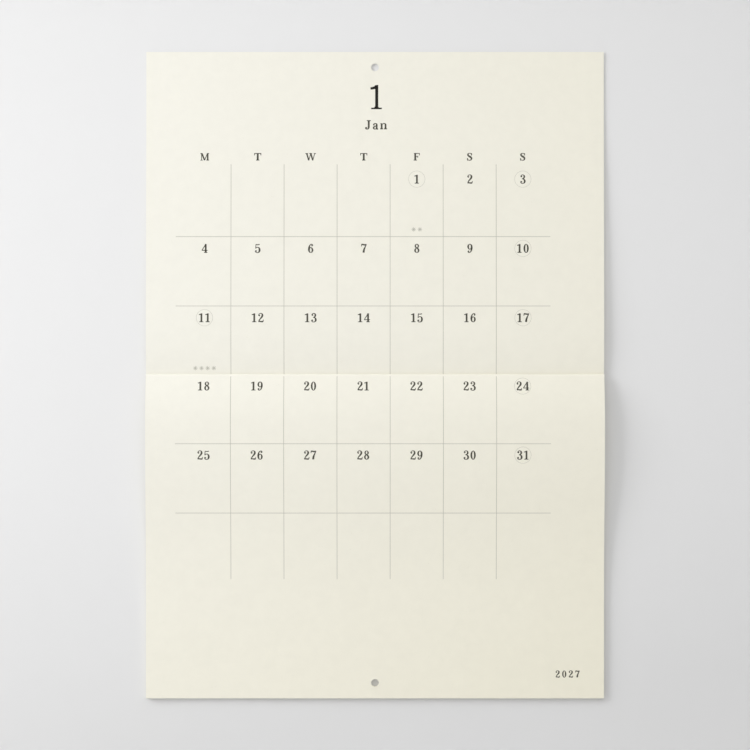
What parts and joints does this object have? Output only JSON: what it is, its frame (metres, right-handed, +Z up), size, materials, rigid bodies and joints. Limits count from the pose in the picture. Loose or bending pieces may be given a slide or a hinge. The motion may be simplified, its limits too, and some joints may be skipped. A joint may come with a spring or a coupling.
{
  "type": "wall calendar",
  "caption": "Stapled paper wall calendar hung open by a punched hole, with its upper leaf turned up and its page block hinged below the fold.",
  "frame": {"origin": "on the hang hole's axis, at the back face of the upper leaf, in the wall's plane", "axes": "+Z up, +X to the reader's right, -Y towards the reader; the wall is the plane Y = 0"},
  "size_m": [0.297, 0.0084, 0.4194],
  "materials": {
    "cover_paper": "uncoated cream paper",
    "page_paper": "uncoated cream paper, grey and black print",
    "staple_wire": "galvanised wire"
  },
  "bodies": {
    "turned_leaf": {"front_cover": "cover_paper"},
    "booklet": {"page_block": "page_paper", "back_cover": "cover_paper", "staple_left": "staple_wire", "staple_right": "staple_wire"}
  },
  "joints": [
    {"name": "cover_fold", "type": "hinge", "parent": "turned_leaf", "child": "booklet", "pos_m": [0, -0.00281, -0.20003], "axis": [-1, 0, 0], "range_deg": [0, 155]}
  ]
}
